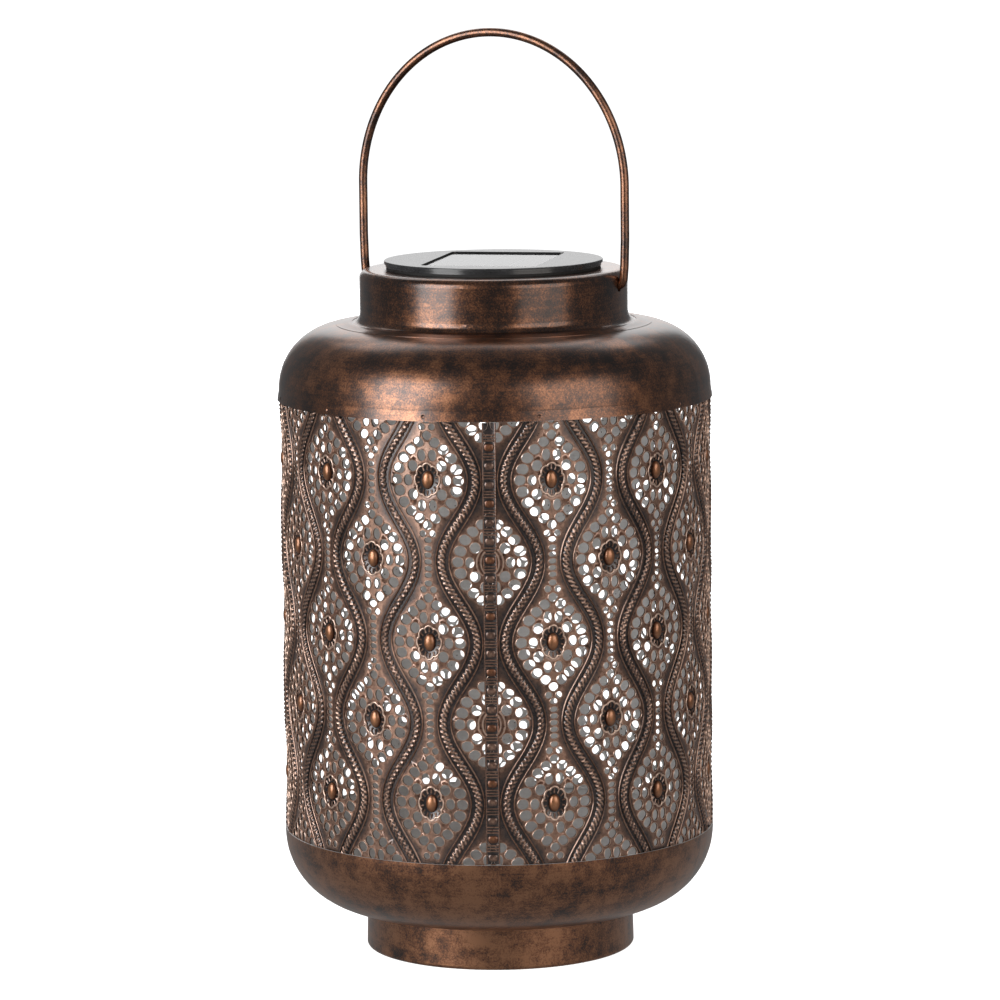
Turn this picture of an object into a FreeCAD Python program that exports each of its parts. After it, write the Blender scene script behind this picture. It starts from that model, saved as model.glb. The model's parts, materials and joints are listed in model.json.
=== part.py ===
"""Solar garden lantern: perforated sheet-metal body, wire bail and lift-out solar lamp module.

Units are millimetres. Z is up and the foot stands on z = 0. The lantern's axis is Z, and the bail's
pivot axis is parallel to X. The lamp module is built square to X and Y, then turned by module_turn.
"""

import math
import os

import FreeCAD
import Part

Vector = FreeCAD.Vector
ORIGIN = Vector(0, 0, 0)
UP = Vector(0, 0, 1)

# Lantern body -----------------------------------------------------------------------------------
sheet = 0.6                # thickness of the spun shells
body_radius = 84.9         # middle of the shell wall
foot_radius = 52.6
foot_flare = 0.4
foot_lip = 46.0            # inner radius of the foot's turned-in lip
pan_top = 48.6
pan_round = 30.0
pan_floor = 17.4           # middle of the pan's flat bottom
drain_radius = 4.0
shoulder_bottom = 219.6
shoulder_top = 248.6
shoulder_round = 24.8
shoulder_flare = 0.6
shoulder_hole = 49.0       # inner radius of the shoulder, under the neck
neck_radius = 52.5
neck_top = 270.0           # middle of the neck's top flange
neck_rim = 3.0             # bend radius between the neck's wall and its top
neck_root = 4.2            # bend radius where the neck flares out on to the shoulder
neck_flange = 57.2         # outer radius of the neck's flared foot
mouth_radius = 40.2
mouth_lip = 266.0

sleeve_radius = 84.6       # outer face, held tight inside both shells
sleeve_sheet = 0.5
sleeve_bottom = 46.8
sleeve_top = 225.0

pattern_columns = 22       # ogee cells around the sleeve, odd columns half a pitch higher
pattern_pitch = 62.5       # from one cell to the next, up a column
pattern_first = 72.0       # centre of the lowest cell of an even column
seam_angle = -69.7         # degrees, where the sleeve's ends meet
ring_holes = 10
ring_half_width = 7.6
ring_half_height = 9.8
ring_hole_radius = 2.0

strip_width = 5.6
strip_sheet = 0.5
strip_pitch = 7.2
strip_block = 3.0
strip_relief = 0.5

weld_count = 24            # spot-weld dimples around the shoulder's lower edge
weld_angle = -71.7         # degrees, the first dimple
weld_height = 221.6        # halfway up the flare
weld_ball = 1.3            # radius of the ball that makes a dimple
weld_depth = 0.25

# Bail -------------------------------------------------------------------------------------------
wire = 3.4                 # diameter
pivot_height = 264.5
pivot_hole = 2.3           # radius
bail_half_width = 55.3
bail_arch_height = 303.0   # where the straight legs turn into the arch
bail_arch_rise = 59.6
bail_bend = 3.0
bail_end = 44.8            # how far the bent-in ends stay from the axis

# Lamp module ------------------------------------------------------------------------------------
module_turn = 10.2         # degrees about Z
cover_radius = 43.1
cover_top = 273.8
cover_step = 272.6         # below this the cover's edge is stepped in
cover_skirt = 42.5
cover_under = 271.4
cover_edge = 0.5
plug_radius = 36.4
plug_bottom = 268.9
panel_half_x = 22.6
panel_half_y = 29.9
pocket_gap = 0.3           # all round the panel
pocket_corner = 2.0
pocket_floor = 271.9
board_sheet = 0.8
cell_sheet = 0.25
cell_count = 4
cell_gap = 0.7
cell_margin = 1.4
resin_top = 273.2
lead_hole = 2.2
lead_hole_y = 12.0

housing_radius = 38.4
housing_wall = 1.8
housing_top = 270.8
housing_bottom = 240.0
housing_floor = 2.0
groove_height = 267.6
groove_width = 2.4
groove_depth = 1.0
ring_middle = 38.6
ring_section = 1.0
washer_inner = 40.6
washer_outer = 42.2
washer_bottom = 270.35

post_circle = 31.0
post_angles = (25.0, 155.0, 270.0)
post_radius = 3.4
post_top = 256.0
counterbore = 2.7
counterbore_top = 252.0
clearance_hole = 1.5
boss_radius = 3.0
boss_bottom = 256.2
pilot_hole = 1.35
pilot_top = 267.0
screw_shank = 1.3
screw_head = 2.4
screw_head_height = 2.0
screw_length = 12.0

bay_y = -16.0
bay_west = -26.9
bay_east = 23.5
bay_half = 6.0
bay_wall = 1.2
bay_ceiling = 253.8
cell_axis = 247.9          # height of the battery's axis
can_radius = 5.0
wrap_sheet = 0.2
can_west = -21.9
can_length = 43.5
button_radius = 1.9
button_length = 1.0
contact_sheet = 0.4
contact_width = 9.0
tab_width = 3.0
tab_top = 257.5
spring_radius = 3.3
spring_wire = 0.6
spring_turns = 3.0

door_sheet = 1.2
door_gap = 0.2
door_west = -28.6
door_east = 25.6
door_half = 7.2
door_tongue = 29.0         # x of the door screw
door_tongue_radius = 3.0
door_boss = 2.6
door_boss_top = 248.0
door_screw_shank = 1.0
door_screw_head = 1.9
door_screw_length = 6.0

pcb_sheet = 1.4
pcb_bottom = 250.0
pcb_half = 20.0
pcb_south = -6.5
pcb_north = 25.0
pcb_post_x = 16.0
pcb_post_y = 21.5
pcb_post_radius = 2.6

optic_hole = 7.4
window_radius = 7.3
window_bottom = 239.6
window_top = 240.8
window_dome = 2.2
reflector_top = 246.0
reflector_neck = 3.3
reflector_mouth = 7.0
reflector_sheet = 0.8
led_radius = 2.5
led_flange = 2.9
led_base = 247.0
led_tip = 241.6

switch_y = 19.0
switch_half_x = 4.4
switch_half_y = 2.2
switch_top = 246.5
switch_ear = 7.5
switch_ear_sheet = 0.4
slot_half_x = 3.5
slot_half_y = 1.6
knob_x = -1.25             # the knob's place when the lamp is on
knob_half_x = 1.1
knob_half_y = 0.9
knob_bottom = 238.3
knob_top = 243.9
lead_radius = 0.6


# Geometry helpers -------------------------------------------------------------------------------
def cylinder(radius, bottom, top, x=0.0, y=0.0):
    return Part.makeCylinder(radius, top - bottom, Vector(x, y, bottom), UP)


def ring(inner, outer, bottom, top):
    return cylinder(outer, bottom, top).cut(cylinder(inner, bottom, top))


def block(x_low, x_high, y_low, y_high, z_low, z_high):
    return Part.makeBox(x_high - x_low, y_high - y_low, z_high - z_low, Vector(x_low, y_low, z_low))


def rounded_block(half_x, half_y, corner, bottom, top):
    """A block centred on the axis, with its four upright edges rounded."""
    solid = block(-half_x, half_x, -half_y, half_y, bottom, top)
    upright = [e for e in solid.Edges if abs(e.Vertexes[0].Z - e.Vertexes[1].Z) > (top - bottom) / 2]
    return solid.makeFillet(corner, upright)


def radial(angle, radius, z):
    return Vector(radius * math.cos(angle), radius * math.sin(angle), z)


def rounded_path(points, radii):
    """Straight edges through the points, with tangent arcs of the given radii at the inner points."""
    edges = []
    start = points[0]
    for before, corner, after, radius in zip(points, points[1:], points[2:], radii):
        back = (before - corner).normalize()
        ahead = (after - corner).normalize()
        half_turn = (math.pi - back.getAngle(ahead)) / 2
        if radius <= 0 or half_turn < 1e-6:
            edges.append(Part.makeLine(start, corner))
            start = corner
            continue
        reach = radius * math.tan(half_turn)
        arc_start = corner + back * reach
        arc_end = corner + ahead * reach
        bisector = (back + ahead).normalize()
        arc_middle = corner + bisector * (radius / math.cos(half_turn) - radius)
        if (arc_start - start).Length > 1e-6:
            edges.append(Part.makeLine(start, arc_start))
        edges.append(Part.Arc(arc_start, arc_middle, arc_end).toShape())
        start = arc_end
    edges.append(Part.makeLine(start, points[-1]))
    return edges


def offset_side(path, shift):
    """The path moved sideways by shift in the XZ plane, with its arcs kept concentric."""
    points = [Vector(x, 0, z) for x, z, _ in path]
    steps = [(b - a).normalize() for a, b in zip(points, points[1:])]
    normals = [Vector(-s.z, 0, s.x) for s in steps]
    moved = [points[0] + normals[0] * shift]
    radii = []
    for i in range(1, len(points) - 1):
        turn = steps[i - 1].x * steps[i].z - steps[i - 1].z * steps[i].x
        miter = normals[i - 1] + normals[i]
        moved.append(points[i] + miter * (shift / (1 + normals[i - 1].dot(normals[i]))))
        radii.append(max(0.0, path[i][2] - shift * math.copysign(1, turn)))
    moved.append(points[-1] + normals[-1] * shift)
    return rounded_path(moved, radii), moved[0], moved[-1]


def spun_sheet(path, thickness):
    """A sheet of revolution about Z. The path is (radius, height, bend radius) along the sheet's middle."""
    left, left_start, left_end = offset_side(path, thickness / 2)
    right, right_start, right_end = offset_side(path, -thickness / 2)
    caps = [Part.makeLine(left_start, right_start), Part.makeLine(left_end, right_end)]
    outline = Part.Wire(Part.__sortEdges__(left + right + caps))
    return Part.Face(outline).revolve(ORIGIN, UP, 360)


def pipe(edges, radius):
    """A round bar along the edges."""
    path = Part.Wire(edges)
    start = path.Edges[0].valueAt(path.Edges[0].FirstParameter)
    heading = path.Edges[0].tangentAt(path.Edges[0].FirstParameter)
    section = Part.Wire([Part.makeCircle(radius, start, heading)])
    return path.makePipeShell([section], True, False)


def lead(points, bend):
    return pipe(rounded_path([Vector(*p) for p in points], [bend] * (len(points) - 2)), lead_radius)


def cross_recess(radius, bottom, depth, x, y):
    """The two crossed slots of a screw's head, cut upward from its lower face."""
    arm = radius * 0.65
    width = radius * 0.14
    slots = [block(x - arm, x + arm, y - width, y + width, bottom, bottom + depth),
             block(x - width, x + width, y - arm, y + arm, bottom, bottom + depth)]
    return slots[0].fuse(slots[1])


def screw(shank, head, head_height, length, seat, x, y):
    """A pan-head screw pointing up, with the underside of its head at the seat height."""
    top = cylinder(head, seat - head_height, seat, x, y)
    rim = [e for e in top.Edges if e.Closed and abs(e.BoundBox.ZMin - (seat - head_height)) < 1e-6]
    body = top.makeFillet(head_height * 0.4, rim).fuse(cylinder(shank, seat, seat + length, x, y))
    return body.cut(cross_recess(head, seat - head_height, head_height * 0.5, x, y))


def group(solids):
    return Part.makeCompound(solids)


# Lantern body -----------------------------------------------------------------------------------
def foot_ring():
    path = [
        (foot_radius, pan_floor - sheet / 2, 0),
        (foot_radius + foot_flare, sheet / 2, 1.0),
        (foot_lip, sheet / 2, 0),
    ]
    return spun_sheet(path, sheet)


def base_pan():
    """A dish whose flat bottom stands on the foot ring, with a drain hole in the middle."""
    path = [
        (body_radius, pan_top, 0),
        (body_radius, pan_floor, pan_round),
        (drain_radius, pan_floor, 0),
    ]
    return spun_sheet(path, sheet)


def shoulder_shell():
    """The domed upper shell, with spot-weld dimples in the flare at its lower edge."""
    path = [
        (body_radius + shoulder_flare, shoulder_bottom, 0),
        (body_radius, shoulder_bottom + 4, 0),
        (body_radius, shoulder_top, shoulder_round),
        (shoulder_hole, shoulder_top, 0),
    ]
    weld_face = body_radius + (shoulder_flare + sheet) / 2
    dimples = []
    for i in range(weld_count):
        angle = math.radians(weld_angle + 360 / weld_count * i)
        dimples.append(Part.makeSphere(weld_ball, radial(angle, weld_face + weld_ball - weld_depth, weld_height)))
    return spun_sheet(path, sheet).cut(dimples)


def neck_collar():
    """The collar flares out on to the shoulder and turns in to the mouth. The bail's ends pass through it."""
    path = [
        (neck_flange, shoulder_top + sheet, 0),
        (neck_radius, shoulder_top + sheet, neck_root),
        (neck_radius, neck_top, neck_rim),
        (mouth_radius, neck_top, 1.0),
        (mouth_radius, mouth_lip, 0),
    ]
    start = Vector(-body_radius, 0, pivot_height)
    drill = Part.makeCylinder(pivot_hole, 2 * body_radius, start, Vector(1, 0, 0))
    return spun_sheet(path, sheet).cut(drill)


def cell_centres(column):
    """Heights of the whole cells in a column. Cells cut by the sleeve's edges are left out."""
    start = pattern_first + (pattern_pitch / 2 if column % 2 else 0)
    centres = [start + i * pattern_pitch for i in range(3)]
    return [z for z in centres if z + ring_half_height < sleeve_top - 10]


def filigree_sleeve():
    """One period of the pattern is two columns, so one sector is cut and then repeated."""
    periods = pattern_columns // 2
    column_angle = 2 * math.pi / pattern_columns
    inner = sleeve_radius - sleeve_sheet
    height = sleeve_top - sleeve_bottom
    base = Vector(0, 0, sleeve_bottom)
    span = math.degrees(2 * column_angle)
    sector = Part.makeCylinder(sleeve_radius, height, base, UP, span)
    sector = sector.cut(Part.makeCylinder(inner, height, base, UP, span))
    drills = []
    for column in range(2):
        for centre in cell_centres(column + 1):
            for i in range(ring_holes):
                turn = 2 * math.pi * (i + 0.5) / ring_holes
                angle = (column + 0.5) * column_angle + ring_half_width * math.cos(turn) / sleeve_radius
                height_here = centre + ring_half_height * math.sin(turn)
                start = radial(angle, inner - 2, height_here)
                drills.append(Part.makeCylinder(ring_hole_radius, 5, start, radial(angle, 1, 0)))
    sector = sector.cut(drills)
    sectors = []
    for i in range(periods):
        piece = sector.copy()
        piece.rotate(ORIGIN, UP, seam_angle - span / 4 + span * i)
        sectors.append(piece)
    return sectors[0].fuse(sectors[1:])


def seam_strip():
    """A straight strip over the sleeve's seam, with raised blocks along it."""
    half = math.degrees(strip_width / 2 / sleeve_radius)
    bottom = pan_top + 0.4
    top = shoulder_bottom - 0.4

    def bar(inner, outer, low, high):
        base = Vector(0, 0, low)
        solid = Part.makeCylinder(outer, high - low, base, UP, 2 * half)
        return solid.cut(Part.makeCylinder(inner, high - low, base, UP, 2 * half))

    face = sleeve_radius + strip_sheet
    blocks = []
    low = bottom + 1
    while low + strip_block < top:
        blocks.append(bar(face, face + strip_relief, low, low + strip_block))
        low += strip_pitch
    strip = bar(sleeve_radius, face, bottom, top).fuse(blocks)
    strip.rotate(ORIGIN, UP, seam_angle - half)
    return strip


# Bail -------------------------------------------------------------------------------------------
def bail_wire():
    def leg(side):
        """From the bent-in end, round the bend and up to the arch."""
        points = [
            Vector(side * bail_end, 0, pivot_height),
            Vector(side * bail_half_width, 0, pivot_height),
            Vector(side * bail_half_width, 0, bail_arch_height),
        ]
        return rounded_path(points, [bail_bend])

    arch = Part.Ellipse(Vector(0, 0, bail_arch_height + bail_arch_rise),
                        Vector(bail_half_width, 0, bail_arch_height),
                        Vector(0, 0, bail_arch_height))
    right = Vector(bail_half_width, 0, bail_arch_height)
    left = Vector(-bail_half_width, 0, bail_arch_height)
    first, last = arch.parameter(left), arch.parameter(right)
    over = arch.toShape(first, last)
    if over.BoundBox.ZMax < bail_arch_height + 1:
        over = arch.toShape(last, first)
    return pipe(Part.__sortEdges__(leg(-1) + [over] + leg(1)), wire / 2)


# Lamp module: the sealed upper half -------------------------------------------------------------
def posts():
    return [radial(math.radians(a), post_circle, 0) for a in post_angles]


def module_cover():
    disc = cylinder(cover_radius, cover_step, cover_top)
    edge = [e for e in disc.Edges if e.Closed and abs(e.BoundBox.ZMin - cover_top) < 1e-6]
    cover = disc.makeFillet(cover_edge, edge)
    cover = cover.fuse([cylinder(cover_skirt, cover_under, cover_step),
                        cylinder(plug_radius, plug_bottom, cover_under)])
    for spot in posts():
        cover = cover.fuse(cylinder(boss_radius, boss_bottom, plug_bottom, spot.x, spot.y))
        cover = cover.cut(cylinder(pilot_hole, boss_bottom, pilot_top, spot.x, spot.y))
    pocket = rounded_block(panel_half_x + pocket_gap, panel_half_y + pocket_gap, pocket_corner,
                           pocket_floor, cover_top)
    cover = cover.cut(pocket)
    return cover.cut(cylinder(lead_hole, plug_bottom, pocket_floor, 0, lead_hole_y))


def panel_board():
    return rounded_block(panel_half_x, panel_half_y, pocket_corner - pocket_gap,
                         pocket_floor, pocket_floor + board_sheet)


def cell_strips():
    """The silicon strips lie side by side across the board."""
    half_x = panel_half_x - cell_margin
    half_y = panel_half_y - cell_margin
    width = (2 * half_x - cell_gap * (cell_count - 1)) / cell_count
    low = pocket_floor + board_sheet
    strips = []
    for i in range(cell_count):
        start = -half_x + i * (width + cell_gap)
        strips.append(block(start, start + width, -half_y, half_y, low, low + cell_sheet))
    return strips


def panel_resin():
    slab = rounded_block(panel_half_x, panel_half_y, pocket_corner - pocket_gap,
                         pocket_floor + board_sheet, resin_top)
    return slab.cut(cell_strips())


def housing_gasket():
    return ring(housing_radius - housing_wall, housing_radius, housing_top, cover_under)


def seat_washer():
    return ring(washer_inner, washer_outer, washer_bottom, cover_under)


def grip_ring():
    return Part.makeTorus(ring_middle, ring_section, Vector(0, 0, groove_height), UP)


# Lamp module: housing, battery and electronics --------------------------------------------------
def door_outline(gap, bottom, top):
    """The battery door's plan, grown by a gap all round."""
    plate = block(door_west - gap, door_east + gap, bay_y - door_half - gap, bay_y + door_half + gap, bottom, top)
    neck_half = door_tongue_radius + gap
    bridge = block(door_east, door_tongue, bay_y - neck_half, bay_y + neck_half, bottom, top)
    return plate.fuse([bridge, cylinder(neck_half, bottom, top, door_tongue, bay_y)])


def module_housing():
    inner = housing_radius - housing_wall
    floor = housing_bottom + housing_floor
    cup = cylinder(housing_radius, housing_bottom, housing_top).cut(cylinder(inner, floor, housing_top))
    groove = ring(housing_radius - groove_depth, housing_radius + 1,
                  groove_height - groove_width / 2, groove_height + groove_width / 2)
    cup = cup.cut(groove)
    bay = block(bay_west - bay_wall, bay_east + bay_wall, bay_y - bay_half - bay_wall,
                bay_y + bay_half + bay_wall, floor, bay_ceiling + bay_wall)
    columns = [cylinder(post_radius, floor, post_top, p.x, p.y) for p in posts()]
    columns.append(cylinder(door_boss, floor, door_boss_top, door_tongue, bay_y))
    for side in (-1, 1):
        columns.append(cylinder(pcb_post_radius, floor, pcb_bottom, side * pcb_post_x, pcb_post_y))
    cup = cup.fuse([bay.common(cylinder(inner + 0.1, housing_bottom, housing_top))] + columns)
    tab = tab_width / 2 + 0.2
    cuts = [
        block(bay_west, bay_east, bay_y - bay_half, bay_y + bay_half, housing_bottom, bay_ceiling),
        block(bay_west, bay_west + contact_sheet + 0.3, bay_y - tab, bay_y + tab, bay_ceiling, tab_top),
        block(bay_east - contact_sheet - 0.3, bay_east, bay_y - tab, bay_y + tab, bay_ceiling, tab_top),
        door_outline(door_gap, housing_bottom, housing_bottom + door_sheet),
        cylinder(optic_hole, housing_bottom, floor),
        block(-slot_half_x, slot_half_x, switch_y - slot_half_y, switch_y + slot_half_y, housing_bottom, floor),
        cylinder(door_screw_shank + 0.05, housing_bottom, door_boss_top - 1, door_tongue, bay_y),
    ]
    for p in posts():
        cuts.append(cylinder(counterbore, housing_bottom, counterbore_top, p.x, p.y))
        cuts.append(cylinder(clearance_hole, counterbore_top, post_top, p.x, p.y))
    for side in (-1, 1):
        cuts.append(cylinder(door_screw_shank + 0.05, floor + 1, pcb_bottom, side * pcb_post_x, pcb_post_y))
    return cup.cut(cuts)


def housing_screws():
    return group([screw(screw_shank, screw_head, screw_head_height, screw_length, counterbore_top, p.x, p.y)
                  for p in posts()])


def battery_door():
    door = door_outline(0, housing_bottom, housing_bottom + door_sheet)
    door = door.cut(cylinder(door_screw_shank + 0.1, housing_bottom, housing_bottom + door_sheet,
                             door_tongue, bay_y))
    ribs = [block(x - 0.4, x + 0.4, bay_y - 3, bay_y + 3, housing_bottom - 0.5, housing_bottom)
            for x in (door_west + 3, door_west + 5, door_west + 7)]
    return door.fuse(ribs)


def door_screw():
    return screw(door_screw_shank, door_screw_head, 1.1, door_screw_length, housing_bottom, door_tongue, bay_y)


def battery_can():
    along = Vector(1, 0, 0)
    can = Part.makeCylinder(can_radius, can_length, Vector(can_west, bay_y, cell_axis), along)
    button = Part.makeCylinder(button_radius, button_length, Vector(can_west + can_length, bay_y, cell_axis), along)
    return can.fuse(button)


def battery_wrap():
    """The printed sleeve shrunk round the can, folded a little over both ends."""
    along = Vector(1, 0, 0)
    start = Vector(can_west - wrap_sheet, bay_y, cell_axis)
    outer = Part.makeCylinder(can_radius + wrap_sheet, can_length + 2 * wrap_sheet, start, along)
    hollow = Part.makeCylinder(can_radius, can_length, Vector(can_west, bay_y, cell_axis), along)
    ends = Part.makeCylinder(can_radius - 0.9, can_length + 2 * wrap_sheet, start, along)
    return outer.cut([hollow, ends])


def contact_plate(x):
    """A flat contact standing across the bay, with a solder tab through the ceiling."""
    half = contact_width / 2
    plate = block(x, x + contact_sheet, bay_y - half, bay_y + half, housing_bottom + door_sheet + 0.8,
                  bay_ceiling - 0.2)
    tab = block(x, x + contact_sheet, bay_y - tab_width / 2, bay_y + tab_width / 2, bay_ceiling - 0.2, tab_top)
    return plate.fuse(tab)


def plus_contact():
    x = bay_east - contact_sheet - 0.05
    plate = contact_plate(x)
    dimple = Part.makeCone(2.2, 1.4, 0.3, Vector(x, bay_y, cell_axis), Vector(-1, 0, 0))
    return plate.fuse(dimple)


def minus_contact():
    """The sprung contact: a coil on a plate."""
    x = bay_west + 0.05
    reach = can_west - wrap_sheet - 0.15 - spring_wire / 2
    start = x + contact_sheet + spring_wire / 2
    pitch = (reach - start) / spring_turns
    coil_path = Part.makeHelix(pitch, reach - start, spring_radius)
    section = Part.Wire([Part.makeCircle(spring_wire / 2, Vector(spring_radius, 0, 0), Vector(0, 1, 0))])
    coil = Part.Wire(coil_path.Edges).makePipeShell([section], True, True)
    coil.rotate(ORIGIN, Vector(0, 1, 0), 90)
    coil.translate(Vector(start - 0.1, bay_y, cell_axis))
    return contact_plate(x).fuse(coil)


def circuit_board():
    board = block(-pcb_half, pcb_half, pcb_south, pcb_north, pcb_bottom, pcb_bottom + pcb_sheet)
    for side in (-1, 1):
        board = board.cut(cylinder(door_screw_shank + 0.15, pcb_bottom, pcb_bottom + pcb_sheet,
                                   side * pcb_post_x, pcb_post_y))
    for x in (-1.27, 1.27):
        board = board.cut(cylinder(0.35, pcb_bottom, pcb_bottom + pcb_sheet, x, 0))
    return board


def board_screws():
    """Screws that point down into the posts, so they are made pointing up and turned over."""
    seat = pcb_bottom + pcb_sheet
    screws = []
    for side in (-1, 1):
        one = screw(door_screw_shank, door_screw_head, 1.3, 5.0, seat, 0, 0)
        one.rotate(Vector(0, 0, seat), Vector(1, 0, 0), 180)
        one.translate(Vector(side * pcb_post_x, pcb_post_y, 0))
        screws.append(one)
    return group(screws)


def driver_chip():
    top = pcb_bottom + pcb_sheet
    body = block(-9, -5, 4, 6, top + 1.2, top + 4.4)
    legs = [block(x - 0.2, x + 0.2, 4.8, 5.2, top, top + 1.2) for x in (-8.4, -7.5, -6.5, -5.6)]
    return body.fuse(legs)


def coil_inductor():
    """An axial choke lying on the board."""
    top = pcb_bottom + pcb_sheet
    along = Vector(1, 0, 0)
    body = Part.makeCylinder(1.7, 8, Vector(3, 7, top + 1.9), along)
    tails = [block(2.2, 3.0, 6.75, 7.25, top, top + 2.1), block(11.0, 11.8, 6.75, 7.25, top, top + 2.1)]
    return body.fuse(tails)


def led_lamp():
    body = cylinder(led_radius, led_tip + led_radius, led_base)
    dome = Part.makeSphere(led_radius, Vector(0, 0, led_tip + led_radius))
    return body.fuse([dome, cylinder(led_flange, led_base - 1, led_base)])


def led_leads():
    return group([block(x - 0.22, x + 0.22, -0.22, 0.22, led_base, pcb_bottom + pcb_sheet + 0.6)
                  for x in (-1.27, 1.27)])


def led_reflector():
    bottom = window_top
    half = reflector_sheet / 2
    outline = [
        Vector(reflector_neck, 0, reflector_top), Vector(reflector_mouth - half, 0, bottom),
        Vector(reflector_mouth + half / 2, 0, bottom), Vector(reflector_neck + reflector_sheet, 0, reflector_top),
    ]
    return Part.Face(Part.makePolygon(outline + outline[:1])).revolve(ORIGIN, UP, 360)


def led_window():
    """A clear plug with a shallow dome facing down."""
    dome_base = window_radius - 0.9
    dome_radius = (dome_base ** 2 + window_dome ** 2) / (2 * window_dome)
    ball = Part.makeSphere(dome_radius, Vector(0, 0, window_bottom - window_dome + dome_radius))
    dome = ball.common(cylinder(dome_base + 1, window_bottom - window_dome - 1, window_bottom))
    return cylinder(window_radius, window_bottom, window_top).fuse(dome)


def switch_body():
    floor = housing_bottom + housing_floor
    body = block(-switch_half_x, switch_half_x, switch_y - switch_half_y, switch_y + switch_half_y,
                 floor, switch_top)
    ears = block(-switch_ear, switch_ear, switch_y - switch_half_y, switch_y + switch_half_y,
                 floor, floor + switch_ear_sheet)
    hollow = block(-2.9, 2.9, switch_y - knob_half_y - 0.3, switch_y + knob_half_y + 0.3, floor, knob_top + 0.4)
    return body.fuse(ears).cut(hollow)


def switch_knob():
    return block(knob_x - knob_half_x, knob_x + knob_half_x, switch_y - knob_half_y, switch_y + knob_half_y,
                 knob_bottom, knob_top)


def panel_lead(x, end_x):
    board_top = pcb_bottom + pcb_sheet
    return lead([(x, lead_hole_y, pocket_floor), (x, lead_hole_y, board_top + 8),
                 (end_x, lead_hole_y + 4, board_top + 5), (end_x, lead_hole_y + 4, board_top)], 2.5)


def battery_lead(contact_x, end_x):
    board_top = pcb_bottom + pcb_sheet
    high = tab_top + 4
    return lead([(contact_x, bay_y, tab_top), (contact_x, bay_y, high),
                 (end_x, -2.0, high), (end_x, -2.0, board_top)], 2.5)


def switch_lead(x, end_x):
    return lead([(x, switch_y - 0.8, switch_top), (x, switch_y - 0.8, pcb_bottom - 1.6),
                 (end_x, switch_y - 3.2, pcb_bottom - 1.6), (end_x, switch_y - 3.2, pcb_bottom)], 0.7)


def fixed_nodes():
    """Nodes that lie square to the row frame."""
    return {
        "foot_ring": foot_ring(),
        "base_pan": base_pan(),
        "filigree_sleeve": filigree_sleeve(),
        "seam_strip": seam_strip(),
        "shoulder_shell": shoulder_shell(),
        "neck_collar": neck_collar(),
        "bail_wire": bail_wire(),
    }


def module_nodes():
    """Nodes of the lamp module, which is turned by module_turn."""
    return {
        "grip_ring": grip_ring(),
        "module_cover": module_cover(),
        "panel_board": panel_board(),
        "solar_cells": group(cell_strips()),
        "panel_resin": panel_resin(),
        "seat_washer": seat_washer(),
        "housing_gasket": housing_gasket(),
        "module_housing": module_housing(),
        "housing_screws": housing_screws(),
        "battery_door": battery_door(),
        "door_screw": door_screw(),
        "battery_can": battery_can(),
        "battery_wrap": battery_wrap(),
        "plus_contact": plus_contact(),
        "minus_contact": minus_contact(),
        "circuit_board": circuit_board(),
        "board_screws": board_screws(),
        "driver_chip": driver_chip(),
        "coil_inductor": coil_inductor(),
        "led_lamp": led_lamp(),
        "led_leads": led_leads(),
        "led_reflector": led_reflector(),
        "led_window": led_window(),
        "switch_body": switch_body(),
        "switch_knob": switch_knob(),
        "panel_lead_red": panel_lead(-0.9, -9.0),
        "panel_lead_black": panel_lead(0.9, 9.0),
        "battery_lead_red": battery_lead(bay_east - 0.25, 14.0),
        "battery_lead_black": battery_lead(bay_west + 0.25, -14.0),
        "switch_lead_red": switch_lead(-2.5, -5.0),
        "switch_lead_black": switch_lead(2.5, 5.0),
    }


def main():
    os.makedirs("parts", exist_ok=True)
    nodes = fixed_nodes()
    for name, shape in module_nodes().items():
        shape.rotate(ORIGIN, UP, module_turn)
        nodes[name] = shape
    for name, shape in nodes.items():
        print(f"{name}: valid {shape.isValid()}, solids {len(shape.Solids)}, volume {shape.Volume:.1f} mm3")
        shape.exportStep(f"parts/{name}.step")


main()
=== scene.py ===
import json
import math
import random

import bpy
import numpy as np
from mathutils import Matrix, Vector
from mathutils.geometry import delaunay_2d_cdt


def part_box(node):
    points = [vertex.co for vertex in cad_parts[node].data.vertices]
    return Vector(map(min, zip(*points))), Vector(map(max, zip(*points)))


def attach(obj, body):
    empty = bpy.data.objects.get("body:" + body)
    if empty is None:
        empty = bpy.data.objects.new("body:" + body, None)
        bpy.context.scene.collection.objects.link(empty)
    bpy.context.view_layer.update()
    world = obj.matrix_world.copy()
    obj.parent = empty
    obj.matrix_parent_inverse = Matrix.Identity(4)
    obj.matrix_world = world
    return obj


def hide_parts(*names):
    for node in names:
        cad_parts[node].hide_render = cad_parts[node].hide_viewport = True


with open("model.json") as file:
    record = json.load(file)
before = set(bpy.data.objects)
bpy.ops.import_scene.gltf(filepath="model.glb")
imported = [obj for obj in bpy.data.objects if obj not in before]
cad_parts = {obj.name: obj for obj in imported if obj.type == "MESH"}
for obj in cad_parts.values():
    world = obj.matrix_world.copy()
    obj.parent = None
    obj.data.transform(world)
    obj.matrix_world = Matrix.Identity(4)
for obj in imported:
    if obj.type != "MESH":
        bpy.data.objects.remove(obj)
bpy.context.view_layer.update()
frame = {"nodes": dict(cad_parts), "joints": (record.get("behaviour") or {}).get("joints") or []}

# Lengths are in millimetres, as in the part's source, except in the studio. MM turns them into metres.
MM = 0.001

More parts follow.
